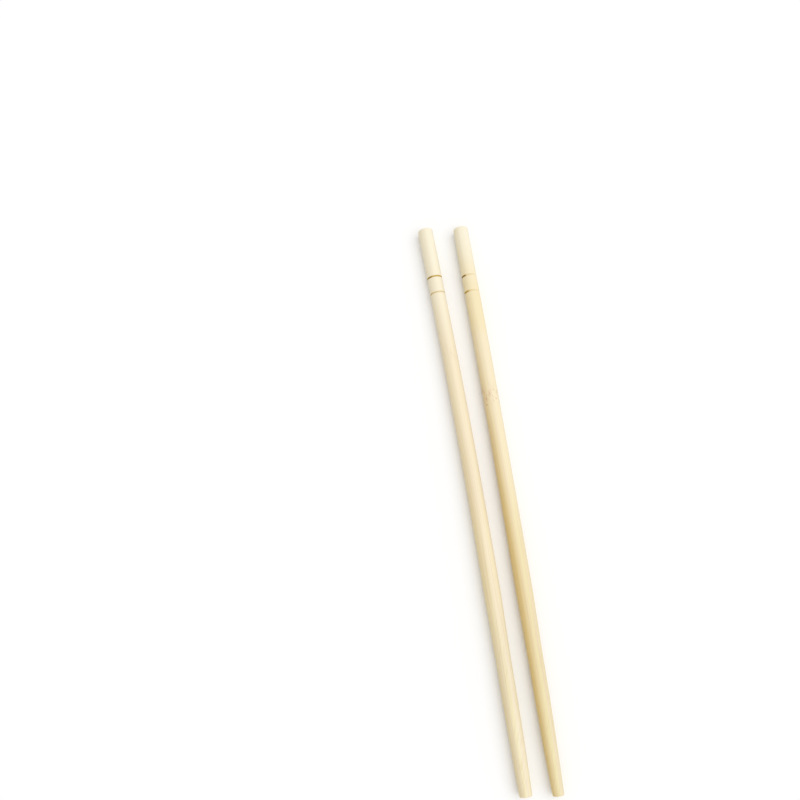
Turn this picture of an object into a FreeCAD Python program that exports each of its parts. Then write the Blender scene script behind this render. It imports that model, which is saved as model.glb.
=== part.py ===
import FreeCAD, Part
import math
import os
from FreeCAD import Placement, Rotation, Vector

# A pair of round bamboo chopsticks that lie loose beside each other on a table.
# Millimetres and degrees. +Z is up and the table is z = 0. The sticks lie along Y,
# with their handles toward +Y and their tips toward -Y. The origin is on the table,
# under the middle of the pair.

length = 195.0  # one stick, from its handle end to its tip
shank_dia = 5.5
handle_round = 0.2  # edge radius of the sawn handle end

# Scored rings round the handle
ring_count = 2
ring_from_end = 19.9  # from the handle end to the middle of the first ring
ring_pitch = 6.35
ring_width = 0.6
ring_depth = 0.28
handle_past_rings = 6.0  # straight wood between the last ring and the bent shank

# The taper is a short neck below the shank, then a long tip whose side swells a little
neck_length = 21.0
neck_dia = 4.9
tip_length = 39.5
tip_swell = 0.16  # how far the side of the tip stands out from a straight cone
tip_round = 0.2

# Bamboo dries with a bend of its own, and each tip is sanded by itself
left_bend = 1.85
left_tip_dia = 3.95
right_bend = 0.85
right_tip_dia = 3.55

# How the pair lies, between the middles of the two sticks
handle_spacing = 13.25
tip_spacing = 9.9
stagger = 1.1  # how much further toward the tips the right stick lies

shank_r = shank_dia / 2
last_ring = ring_from_end + (ring_count - 1) * ring_pitch
handle_length = last_ring + ring_width / 2 + handle_past_rings
taper_length = neck_length + tip_length
shank_length = length - handle_length - taper_length

ORIGIN = Vector(0, 0, 0)
UP = Vector(0, 0, 1)
ALONG = Vector(0, 1, 0)


def lines(*points):
    """Straight edges through points given as (distance from the stick's axis, place along Y)."""
    corners = [Vector(x, y, 0) for x, y in points]
    return [Part.makeLine(a, b) for a, b in zip(corners, corners[1:])]


def turned(outline, end):
    """The solid turned about the Y axis from an outline that starts on it and returns to it at y = end."""
    closing = Part.makeLine(Vector(0, end, 0), ORIGIN)
    return Part.Face(Part.Wire(outline + [closing])).revolve(ORIGIN, ALONG, 360)


def round_end(solid, y, radius):
    """Rounds the edge of the flat end that lies at y."""
    rim = [edge for edge in solid.Edges if edge.Closed and abs(edge.CenterOfMass.y - y) < 1e-6]
    return solid.makeFillet(radius, rim)


def handle():
    """The straight handle, from its end at the origin toward -Y, with a V-shaped groove at each ring."""
    outline = [(0, 0), (shank_r, 0)]
    for i in range(ring_count):
        ring = -(ring_from_end + i * ring_pitch)
        outline.append((shank_r, ring + ring_width / 2))
        outline.append((shank_r - ring_depth, ring))
        outline.append((shank_r, ring - ring_width / 2))
    outline += [(shank_r, -handle_length), (0, -handle_length)]
    return round_end(turned(lines(*outline), -handle_length), 0, handle_round)


def shank(bend):
    """The plain middle of the stick, from the origin toward -Y, curving toward -X through the angle bend."""
    section = Part.Face(Part.Wire(Part.makeCircle(shank_r, ORIGIN, ALONG)))
    centre = Vector(-shank_length / math.radians(bend), 0, 0)
    return section.revolve(centre, UP, -bend)


def taper(tip_dia):
    """The neck and the tip, from the origin toward -Y, down to the blunt end."""
    neck_r = neck_dia / 2
    tip_r = tip_dia / 2
    neck = lines((0, 0), (shank_r, 0), (neck_r, -neck_length))
    half_way = Vector((neck_r + tip_r) / 2 + tip_swell, -neck_length - tip_length / 2, 0)
    side = Part.Arc(Vector(neck_r, -neck_length, 0), half_way, Vector(tip_r, -taper_length, 0))
    blunt_end = lines((tip_r, -taper_length), (0, -taper_length))
    solid = turned(neck + [side.toShape()] + blunt_end, -taper_length)
    return round_end(solid, -taper_length, tip_round)


def chopstick(bend, tip_dia):
    """One stick along Y, its handle end at the origin and the middle of its tip on the axis toward -Y."""
    turn = math.radians(bend)
    bend_radius = shank_length / turn
    bend_start = Vector(0, -handle_length, 0)
    across = -bend_radius * (1 - math.cos(turn))
    bend_end = bend_start + Vector(across, -bend_radius * math.sin(turn), 0)
    after_bend = Placement(bend_end, Rotation(UP, -bend))
    middle = shank(bend)
    middle.Placement = Placement(bend_start, Rotation())
    front = taper(tip_dia)
    front.Placement = after_bend
    stick = handle().fuse([middle, front]).removeSplitter()
    tip = after_bend.multVec(Vector(0, -taper_length, 0))
    stick.rotate(ORIGIN, UP, math.degrees(math.atan2(-tip.x, -tip.y)))
    return stick


def laid(stick, side, along):
    """The stick on the table, at the left for side -1 or the right for 1, closing toward the other's tip."""
    close = math.degrees(math.asin((handle_spacing - tip_spacing) / 2 / length))
    stick.rotate(ORIGIN, UP, -side * close)
    stick.translate(Vector(side * handle_spacing / 2, along, shank_r))
    return stick


pair = {
    "left_chopstick": laid(chopstick(left_bend, left_tip_dia), -1, 0),
    "right_chopstick": laid(chopstick(right_bend, right_tip_dia), 1, -stagger),
}
middle_of_pair = Part.makeCompound(list(pair.values())).optimalBoundingBox().Center
os.makedirs("parts", exist_ok=True)
for name, stick in pair.items():
    stick.translate(Vector(-middle_of_pair.x, -middle_of_pair.y, 0))
    stick.exportStep("parts/" + name + ".step")
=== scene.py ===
import math

import bpy
import numpy as np
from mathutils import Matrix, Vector


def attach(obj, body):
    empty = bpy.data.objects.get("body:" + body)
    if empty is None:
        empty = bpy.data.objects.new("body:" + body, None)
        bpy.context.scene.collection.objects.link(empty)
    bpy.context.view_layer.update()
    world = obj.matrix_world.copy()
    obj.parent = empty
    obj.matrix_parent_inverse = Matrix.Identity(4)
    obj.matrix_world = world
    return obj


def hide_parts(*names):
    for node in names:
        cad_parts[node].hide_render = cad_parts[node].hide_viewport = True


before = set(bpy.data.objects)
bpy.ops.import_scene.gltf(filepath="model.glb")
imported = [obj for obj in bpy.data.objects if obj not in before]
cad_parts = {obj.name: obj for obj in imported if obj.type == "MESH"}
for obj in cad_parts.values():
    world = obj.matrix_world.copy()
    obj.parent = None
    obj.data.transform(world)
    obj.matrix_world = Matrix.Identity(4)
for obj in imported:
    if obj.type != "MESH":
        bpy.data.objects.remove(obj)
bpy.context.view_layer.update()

# A pair of round bamboo chopsticks, in metres. They lie on the floor z = 0 along Y,
# with their handle ends toward +Y and their tips toward -Y.
MM = 0.001

# One stick, measured along it from its handle end
LENGTH = 195.0 * MM
SHANK_R = 2.75 * MM
HANDLE_ROUND = 0.2 * MM
RINGS = (19.9 * MM, 26.25 * MM)
RING_WIDTH = 0.6 * MM
RING_DEPTH = 0.28 * MM
HANDLE_LENGTH = 32.55 * MM
NECK_LENGTH = 21.0 * MM
NECK_R = 2.45 * MM
TIP_LENGTH = 39.5 * MM
TIP_SWELL = 0.16 * MM
TIP_ROUND = 0.2 * MM
TAPER_START = LENGTH - NECK_LENGTH - TIP_LENGTH
TIP_START = LENGTH - TIP_LENGTH

# How the pair lies
HANDLE_SPACING = 13.25 * MM
TIP_SPACING = 9.9 * MM
STAGGER = 1.1 * MM

# How far sanding leaves the surface short of a true round, at most
UNEVEN = 0.03 * MM

# Mesh fineness
AROUND = 96
CAP_RINGS = 10
EDGE_STEPS = 8
PLAIN_STEP = 1.0 * MM
FINE_STEP = 0.05 * MM

# Each stick's own shape, tones and marks, with distances along it in mm from its handle end.
# A tone is (start, end, colour): the stick shades over into that colour from start to end.
# A ring's scorch values, 0 to 1, go from the left of the stick over its top to the right, at the
# places in SCORCH_PLACES, which are shares of the radius. Their high values on the left are partly
# painted shade, on the side of the grooves away from the lamp.
# The golden outer skin of the bamboo shows on the left, the side away from the lamp, where it is
# partly painted shade. Its two strengths are those on the handle and toward the tip.
# A node of the bamboo leaves a faint mottled band round the stick at knot_at, and dashes, each
# (mm across, mm along, half its length in mm, how much it slants to the right).
SCORCH_PLACES = (-0.95, -0.66, -0.5, -0.32, 0.6)
STICKS = {
    "left_chopstick": {
        "side": -1,
        "along": 0.0,
        "bend": 1.85,
        "tip_r": 1.975 * MM,
        "tones": (
            (5.0, 60.0, (247, 233, 204)),
            (100.0, 116.0, (249, 238, 204)),
            (125.0, 160.0, (242, 235, 206)),
            (165.0, 180.0, (248, 243, 213)),
        ),
        "ring_scorch_and_shade": ((0.72, 0.86, 0.7, 0.48, 0.55), (0.42, 0.3, 0.3, 0.27, 0.22)),
        "skin_and_shade": (0.2, 0.5),
        "knot_at": 50.0,
        "knot_strength": 0.15,
        "dashes": (),
        "seed": 3.0,
    },
    "right_chopstick": {
        "side": 1,
        "along": -STAGGER,
        "bend": 0.85,
        "tip_r": 1.775 * MM,
        "tones": (
            (3.0, 30.0, (246, 230, 188)),
            (38.0, 46.0, (247, 233, 200)),
            (90.0, 122.0, (237, 221, 177)),
            (125.0, 160.0, (229, 214, 171)),
            (162.0, 180.0, (233, 223, 180)),
        ),
        "ring_scorch_and_shade": ((0.95, 0.9, 0.2, 0.18, 0.05), (0.68, 0.6, 0.3, 0.16, 0.06)),
        "skin_and_shade": (0.15, 1.15),
        "knot_at": 66.0,
        "knot_strength": 0.5,
        "dashes": (
            (-0.62, 65.9, 1.4, 0.4),
            (-1.9, 67.6, 1.2, 0.0),
            (-2.1, 69.7, 0.8, 0.0),
            (1.4, 67.9, 0.5, 0.3),
        ),
        "seed": 11.0,
    },
}
DASH_WIDTH = 0.36
DASH_STRENGTH = 0.68

# The wood's other colours, each 0 to 255
HANDLE_TONE = (250, 243, 220)
YELLOWER = (245, 231, 180)
PINKER = (243, 224, 197)
# The golden skin colour below is partly painted shade, on the sticks' left away from the lamp
SKIN_AND_SHADE = (229, 202, 138)
FIBRE = (222, 197, 148)
BUNDLE = (206, 176, 122)
KNOT = (210, 160, 128)
SAWN = (234, 215, 172)
SCORCHED = (201, 165, 54)
# The dark brown below also stands for painted shade on the rings' left, away from the lamp
BURNT_AND_SHADE = (129, 98, 48)

# Light: the surround and the lamp together show a colour that faces up about as it is written.
# The floor is white to the camera and a light grey to the sticks that it lights from below.
SURROUND = 0.66
LAMP = 1.2
LAMP_FROM = (0.41, -0.1, 1.0)
LAMP_SPREAD = 70.0
WHITE = (255, 255, 255)
FLOOR_BOUNCE = (0.8, 0.8, 0.8, 1)
FLOOR_HALF = 3.0

# The photograph's view: the middle of the picture lies on the floor beside the handles
LOOK_AT = Vector((-25.181, 34.615, 0.0)) * MM
AZIMUTH = math.radians(-8.058)
ELEVATION = math.radians(73.0)
DISTANCE = 284.06 * MM
LENS = 36.0
SENSOR = 36.0


def places_along():
    """Distances along the stick at which its mesh has a ring, closer together at its ends and grooves."""
    quarter = np.linspace(0, math.pi / 2, EDGE_STEPS)
    places = [HANDLE_ROUND * (1 - np.cos(quarter)), LENGTH - TIP_ROUND * (1 - np.sin(quarter))]
    places.append(np.arange(HANDLE_ROUND + PLAIN_STEP, LENGTH - TIP_ROUND, PLAIN_STEP))
    places.append(np.array([TAPER_START, TIP_START]))
    for ring in RINGS:
        places.append(np.arange(ring - RING_WIDTH, ring + RING_WIDTH, FINE_STEP))
    return np.unique(np.concatenate(places).round(7))


def radius_along(s, tip_r):
    """The stick's radius at the distances s, without its grooves."""
    neck = SHANK_R + (NECK_R - SHANK_R) * (s - TAPER_START) / NECK_LENGTH
    t = (s - TIP_START) / TIP_LENGTH
    tip = NECK_R + (tip_r - NECK_R) * t + TIP_SWELL * 4 * t * (1 - t)
    radius = np.where(s < TAPER_START, SHANK_R, np.where(s < TIP_START, neck, tip))
    into_handle_end = np.clip(HANDLE_ROUND - s, 0, HANDLE_ROUND)
    into_tip = np.clip(s - (LENGTH - TIP_ROUND), 0, TIP_ROUND)
    radius -= HANDLE_ROUND - np.sqrt(HANDLE_ROUND**2 - into_handle_end**2)
    radius -= TIP_ROUND - np.sqrt(TIP_ROUND**2 - into_tip**2)
    return radius


def with_caps(s, radius):
    """The places and radii with rings added across the two flat ends, and which of them lie on those ends."""
    share = np.linspace(0, 1, CAP_RINGS)[1:-1]
    s_all = np.concatenate([np.zeros(len(share)), s, np.full(len(share), LENGTH)])
    r_all = np.concatenate([share * radius[0], radius, share[::-1] * radius[-1]])
    sawn = np.zeros(len(s_all))
    sawn[: len(share) + 1] = 1
    sawn[-len(share) - 1 :] = 1
    return s_all, r_all, sawn


def grooves(s, angle, own):
    """How deep the scored rings are and how scorched, each from 0 to 1, for each place and angle.
    The scorch is partly painted shade on their left side, away from the lamp.
    """
    depth = np.zeros((len(s), len(angle)))
    scorch_and_shade = np.zeros_like(depth)
    for ring, strengths in zip(RINGS, own["ring_scorch_and_shade"]):
        from_ring = np.abs(s - ring)[:, None] / (RING_WIDTH / 2)
        strength = np.interp(np.cos(angle), SCORCH_PLACES, strengths)
        depth += np.clip(1 - from_ring, 0, 1) * (0.7 + 0.3 * strength)
        scorch_and_shade += np.clip((1.4 - from_ring) / 0.6, 0, 1) * strength
    return depth, scorch_and_shade


def unevenness(s, angle, seed):
    """A slow wave of the surface along and round the stick, from 0 to 1."""
    along, around = s[:, None] / LENGTH, angle[None, :]
    wave = np.sin(2 * math.pi * 3.1 * along + 2 * around + seed)
    wave += np.sin(2 * math.pi * 7.3 * along - 3 * around + 2 * seed)
    wave += np.sin(2 * math.pi * 1.7 * along + around + 3 * seed)
    return 0.5 + wave / 6


def centreline(s, bend):
    """Across, along and turn at the distances s of a stick that starts toward -Y and bends toward -X."""
    whole_turn = math.radians(bend)
    bend_radius = (TAPER_START - HANDLE_LENGTH) / whole_turn
    turn = np.clip((s - HANDLE_LENGTH) / bend_radius, 0, whole_turn)
    past_bend = np.maximum(s - TAPER_START, 0)
    x = -bend_radius * (1 - np.cos(turn)) - past_bend * math.sin(whole_turn)
    y = -np.minimum(s, HANDLE_LENGTH) - bend_radius * np.sin(turn) - past_bend * math.cos(whole_turn)
    return x, y, turn


def laid(points, own):
    """Points of a stick turned so that its tip closes toward the other one, and moved to its place."""
    tip_x, tip_y, _ = centreline(np.array([LENGTH]), own["bend"])
    lean = math.atan2(-tip_x[0], -tip_y[0])
    close = math.asin((HANDLE_SPACING - TIP_SPACING) / 2 / LENGTH)
    turn = lean - own["side"] * close
    x = points[:, 0] * math.cos(turn) - points[:, 1] * math.sin(turn)
    y = points[:, 0] * math.sin(turn) + points[:, 1] * math.cos(turn)
    spot = np.array([own["side"] * HANDLE_SPACING / 2, own["along"], SHANK_R])
    return np.stack([x, y, points[:, 2]], axis=1) + spot


def stick_surface(own):
    """One stick's points, ring by ring with its two end middles last, and what its material reads there."""
    s = places_along()
    s, radius, sawn = with_caps(s, radius_along(s, own["tip_r"]))
    angle = np.arange(AROUND) * 2 * math.pi / AROUND
    depth, scorch_and_shade = grooves(s, angle, own)
    uneven = UNEVEN * unevenness(s, angle, own["seed"])
    r = radius[:, None] * (1 - uneven / SHANK_R) - RING_DEPTH * depth
    across, up = r * np.cos(angle), r * np.sin(angle)
    x, y, turn = centreline(s, own["bend"])
    px = x[:, None] + across * np.cos(turn)[:, None]
    py = y[:, None] - across * np.sin(turn)[:, None]
    points = np.stack([px, py, up], axis=2).reshape(-1, 3)
    straight = np.stack([across, np.broadcast_to(s[:, None], r.shape), up], axis=2).reshape(-1, 3)
    middles = np.array([[x[0], y[0], 0], [x[-1], y[-1], 0]])
    points = laid(np.concatenate([points, middles]), own)
    straight = np.concatenate([straight, [[0, 0, 0], [0, LENGTH, 0]]]) / MM
    marks = {
        "scorched": np.append(scorch_and_shade.ravel(), [0, 0]),
        "sawn": np.append(np.repeat(sawn, AROUND), [1, 1]),
    }
    return points, straight, marks, len(s)


def ring_faces(rings):
    """Faces between neighbouring rings of points, with a fan at each end round its middle."""
    faces = []
    for i in range(rings - 1):
        a, b = i * AROUND, (i + 1) * AROUND
        for k in range(AROUND):
            n = (k + 1) % AROUND
            faces.append((a + k, a + n, b + n, b + k))
    last = (rings - 1) * AROUND
    first_middle = rings * AROUND
    last_middle = first_middle + 1
    for k in range(AROUND):
        n = (k + 1) % AROUND
        faces.append((first_middle, n, k))
        faces.append((last_middle, last + k, last + n))
    return faces


def link(name, data):
    """A new object in the scene."""
    made = bpy.data.objects.new(name, data)
    bpy.context.scene.collection.objects.link(made)
    return made


def stick(name, points, straight, marks, rings):
    """The stick's object, with its place in the straight stick, in mm, kept for the material."""
    mesh = bpy.data.meshes.new(name)
    mesh.from_pydata(points.tolist(), [], ring_faces(rings))
    mesh.attributes.new("straight", "FLOAT_VECTOR", "POINT").data.foreach_set("vector", straight.ravel())
    for mark, values in marks.items():
        mesh.attributes.new(mark, "FLOAT", "POINT").data.foreach_set("value", values)
    mesh.shade_smooth()
    return link(name + "_bamboo", mesh)


def srgb(colour):
    """A colour given as 0 to 255, as the linear colour that a shader takes."""
    values = [c / 255 for c in colour]
    return [c / 12.92 if c <= 0.04045 else ((c + 0.055) / 1.055) ** 2.4 for c in values] + [1.0]


class Graph:
    """Short calls that add shader nodes to a material or world."""

    def __init__(self, owner):
        owner.use_nodes = True
        self.tree = owner.node_tree
        self.tree.nodes.clear()

    def node(self, kind, inputs=(), **settings):
        made = self.tree.nodes.new(kind)
        for key, value in settings.items():
            setattr(made, key, value)
        for socket, value in dict(inputs).items():
            if isinstance(value, bpy.types.NodeSocket):
                self.tree.links.new(value, made.inputs[socket])
            else:
                made.inputs[socket].default_value = value
        return made

    def math(self, operation, a, b=0.0, clamp=False):
        return self.node("ShaderNodeMath", {0: a, 1: b}, operation=operation, use_clamp=clamp).outputs[0]

    def attribute(self, name, output):
        return self.node("ShaderNodeAttribute", attribute_name=name).outputs[output]

    def mix(self, factor, a, b):
        return self.node("ShaderNodeMix", {0: factor, 6: a, 7: b}, data_type="RGBA").outputs[2]

    def over(self, colour, amount, other):
        """The colour with so much of the other one, given as 0 to 255, laid over it."""
        return self.mix(amount, colour, srgb(other))

    def smooth(self, value, low, high, to_low=0.0, to_high=1.0):
        """value eased from low to high, given as to_low to to_high."""
        inputs = {"Value": value, "From Min": low, "From Max": high, "To Min": to_low, "To Max": to_high}
        return self.node("ShaderNodeMapRange", inputs, interpolation_type="SMOOTHSTEP").outputs[0]

    def stretched(self, point, across, along, seed):
        """The point scaled for a pattern with so many features a mm across and along the stick."""
        place = (seed, seed * 1.7, seed * 0.6)
        inputs = {"Vector": point, "Location": place, "Scale": (across, along, across)}
        return self.node("ShaderNodeMapping", inputs).outputs[0]

    def noise(self, point, across, along, seed, detail=2.0, distortion=0.0):
        inputs = {"Vector": self.stretched(point, across, along, seed), "Scale": 1.0, "Detail": detail}
        inputs["Distortion"] = distortion
        return self.node("ShaderNodeTexNoise", inputs).outputs[0]

    def seen(self):
        """1 where the background is seen, straight or in a surface, and 0 where it lights one."""
        path = self.node("ShaderNodeLightPath")
        seen = self.math("MAXIMUM", path.outputs["Is Camera Ray"], path.outputs["Is Glossy Ray"])
        return self.math("MAXIMUM", seen, path.outputs["Is Transmission Ray"])

    def output(self, kind, shader):
        self.node(kind, {"Surface": shader})


def grain(g, point, seed):
    """The wood's patterns, 0 to 1: broad bands, fibres, fine hairs and the dark bundles among the fibres."""
    bands = g.noise(point, 0.9, 0.010, seed, detail=3.0)
    fibres = g.noise(point, 4.5, 0.035, seed + 5, detail=4.0)
    hairs = g.noise(point, 13.0, 0.2, seed + 9)
    cells = g.stretched(point, 2.8, 0.016, seed)
    to_bundle = g.node("ShaderNodeTexVoronoi", {"Vector": cells, "Scale": 1.0}).outputs["Distance"]
    return bands, fibres, hairs, g.smooth(to_bundle, 0.36, 0.14)


def wood_tone(g, own, s, bands):
    """The stick's tones along it, in bands of a yellower and a pinker hue that show more toward the tip."""
    colour = srgb(HANDLE_TONE)
    for start, end, tone in own["tones"]:
        colour = g.over(colour, g.smooth(s, start, end), tone)
    hue = g.over(srgb(YELLOWER), g.smooth(bands, 0.42, 0.58), PINKER)
    return g.mix(g.smooth(s, 20.0, 170.0, 0.12, 0.5), colour, hue)


def skin_and_shade_side(g, own, x, s, bands):
    """How far a place is in the golden outer skin, which fades out over the top and toward the handle end.
    On the left, away from the lamp, it is partly painted shade.
    """
    ragged = g.math("MULTIPLY", g.math("SUBTRACT", bands, 0.5), 1.4)
    out_of = g.math("SUBTRACT", x, ragged)
    strength = g.smooth(s, 20.0, 130.0, *own["skin_and_shade"])
    return g.math("MULTIPLY", strength, g.smooth(out_of, 0.8, -2.8))


def with_fibres(g, colour, s, skin_and_shade, fibres, bundles):
    """The colour with its fibres and bundles, which show more toward the tip and in the skin and painted
    shade.
    """
    shown = g.math("ADD", g.smooth(s, 30.0, 160.0, 0.10, 0.26), g.math("MULTIPLY", skin_and_shade, 0.16))
    colour = g.over(colour, g.math("MULTIPLY", g.smooth(fibres, 0.48, 0.74), shown), FIBRE)
    return g.over(colour, g.math("MULTIPLY", bundles, g.math("MULTIPLY", shown, 0.9)), BUNDLE)


def sanding(g, point, x, s, seed):
    """Fine marks that sanding leaves across the fibres at a slant, toward the tip."""
    slanted = g.math("ADD", x, g.math("MULTIPLY", s, 0.3))
    up = g.node("ShaderNodeSeparateXYZ", {0: point}).outputs[2]
    turned = g.node("ShaderNodeCombineXYZ", {0: slanted, 1: s, 2: up}).outputs[0]
    marks = g.smooth(g.noise(turned, 2.0, 0.12, seed + 13), 0.5, 0.72)
    return g.math("MULTIPLY", marks, g.smooth(s, 120.0, 165.0, 0.0, 0.25))


def node_mark(g, own, point, x, s):
    """The mark that a node of the bamboo leaves: a faint mottled band and a few short dashes."""
    from_knot = g.math("ABSOLUTE", g.math("SUBTRACT", s, own["knot_at"]))
    swirl = g.noise(point, 1.3, 0.35, own["seed"] + 2, detail=3.0, distortion=1.4)
    mottled = g.smooth(swirl, 0.48, 0.68, 0.0, own["knot_strength"])
    mark = g.math("MULTIPLY", g.smooth(from_knot, 5.0, 0.5), mottled)
    wander = g.math("SUBTRACT", swirl, 0.5)
    for across, along, half_length, slant in own["dashes"]:
        down = g.math("SUBTRACT", s, along)
        shift = g.math("ADD", g.math("MULTIPLY", down, slant), wander)
        aside = g.math("SUBTRACT", g.math("SUBTRACT", x, across), shift)
        reach_aside = g.math("ABSOLUTE", g.math("DIVIDE", aside, DASH_WIDTH))
        reach = g.math("ADD", reach_aside, g.math("ABSOLUTE", g.math("DIVIDE", down, half_length)))
        mark = g.math("MAXIMUM", mark, g.smooth(reach, 1.1, 0.2, 0.0, DASH_STRENGTH))
    return mark


def with_scorched_and_shaded_rings(g, colour):
    """The colour with the scored rings, golden where they are lightly scorched and brown where more.
    The brown on their left is partly painted shade, away from the lamp.
    """
    scorched = g.attribute("scorched", "Fac")
    burn = g.over(srgb(SCORCHED), g.smooth(scorched, 0.5, 1.0), BURNT_AND_SHADE)
    return g.mix(g.math("DIVIDE", scorched, 0.58, clamp=True), colour, burn)


def satin(g, colour, sawn, fibres, hairs, bundles):
    """A satin surface with a faint relief of its fibres, rough where it is sawn."""
    roughness = g.smooth(fibres, 0.3, 0.7, 0.46, 0.6)
    roughness = g.math("MAXIMUM", roughness, g.math("MULTIPLY", sawn, 0.85))
    height = g.math("ADD", fibres, g.math("MULTIPLY", hairs, 0.5))
    height = g.math("SUBTRACT", height, g.math("MULTIPLY", bundles, 0.3))
    bump = g.node("ShaderNodeBump", {"Height": height, "Strength": 0.5, "Distance": 0.02 * MM})
    inputs = {"Base Color": colour, "Roughness": roughness, "Normal": bump.outputs[0], "IOR": 1.45}
    return g.node("ShaderNodeBsdfPrincipled", inputs).outputs[0]


def bamboo(name, own):
    """Pale sanded bamboo: long fibres, a golden side, a node's mark, scorched rings and sawn ends.
    The golden side and the rings' brown left are partly painted shade, away from the lamp.
    """
    material = bpy.data.materials.new(name)
    g = Graph(material)
    point = g.attribute("straight", "Vector")
    sawn = g.attribute("sawn", "Fac")
    place = g.node("ShaderNodeSeparateXYZ", {0: point})
    x, s = place.outputs[0], place.outputs[1]
    bands, fibres, hairs, bundles = grain(g, point, own["seed"])
    skin_and_shade = skin_and_shade_side(g, own, x, s, bands)

    # The golden skin on the left, partly painted shade on the side away from the lamp
    colour = g.over(wood_tone(g, own, s, bands), skin_and_shade, SKIN_AND_SHADE)
    colour = with_fibres(g, colour, s, skin_and_shade, fibres, bundles)
    colour = g.over(colour, sanding(g, point, x, s, own["seed"]), FIBRE)
    colour = g.over(colour, node_mark(g, own, point, x, s), KNOT)
    end_grain = g.over(srgb(SAWN), g.math("MULTIPLY", bundles, 0.75), BUNDLE)
    colour = g.mix(sawn, colour, end_grain)
    # The scored rings, their brown left partly painted shade
    colour = with_scorched_and_shaded_rings(g, colour)

    g.output("ShaderNodeOutputMaterial", satin(g, colour, sawn, fibres, hairs, bundles))
    return material


def pair_of_sticks():
    """Both sticks, with the middle of the pair over the origin as in the frame."""
    made = {name: stick_surface(own) for name, own in STICKS.items()}
    every = np.concatenate([points for points, *_ in made.values()])
    middle = (every.min(axis=0) + every.max(axis=0)) / 2 * np.array([1, 1, 0])
    for name, (points, straight, marks, rings) in made.items():
        piece = stick(name, points - middle, straight, marks, rings)
        piece.data.materials.append(bamboo(name + "_finish", STICKS[name]))
        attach(piece, "root")
        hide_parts(name)


def floor():
    """A plain white floor that keeps the sticks' shadows."""
    half = FLOOR_HALF
    corners = [(-half, -half, 0), (half, -half, 0), (half, half, 0), (-half, half, 0)]
    mesh = bpy.data.meshes.new("floor")
    mesh.from_pydata(corners, [], [(0, 1, 2, 3)])
    material = bpy.data.materials.new("white_floor")
    g = Graph(material)
    shader = g.node("ShaderNodeBsdfDiffuse", {"Color": g.over(FLOOR_BOUNCE, g.seen(), WHITE)})
    g.output("ShaderNodeOutputMaterial", shader.outputs[0])
    mesh.materials.append(material)
    link("floor", mesh)


def lighting():
    """An even white surround and one broad soft lamp from the right."""
    world = bpy.data.worlds.new("studio")
    bpy.context.scene.world = world
    g = Graph(world)
    strength = g.smooth(g.seen(), 0.0, 1.0, SURROUND, 1.0)
    sky = g.node("ShaderNodeBackground", {"Color": srgb(WHITE), "Strength": strength})
    g.output("ShaderNodeOutputWorld", sky.outputs[0])
    lamp = bpy.data.lights.new("soft_lamp", "SUN")
    lamp.energy = LAMP
    lamp.angle = math.radians(LAMP_SPREAD)
    link("soft_lamp", lamp).rotation_euler = Vector(LAMP_FROM).to_track_quat("Z", "Y").to_euler()


def camera():
    """The camera at the photograph's viewing angle."""
    data = bpy.data.cameras.new("camera")
    data.sensor_width = SENSOR
    data.lens = LENS
    data.clip_start = 10 * MM
    made = link("camera", data)
    level = math.cos(ELEVATION)
    back = Vector((math.sin(AZIMUTH) * level, -math.cos(AZIMUTH) * level, math.sin(ELEVATION)))
    made.location = LOOK_AT + back * DISTANCE
    made.rotation_euler = back.to_track_quat("Z", "Y").to_euler()
    bpy.context.scene.camera = made


pair_of_sticks()
floor()
lighting()
camera()
bpy.context.scene.view_settings.view_transform = "Standard"
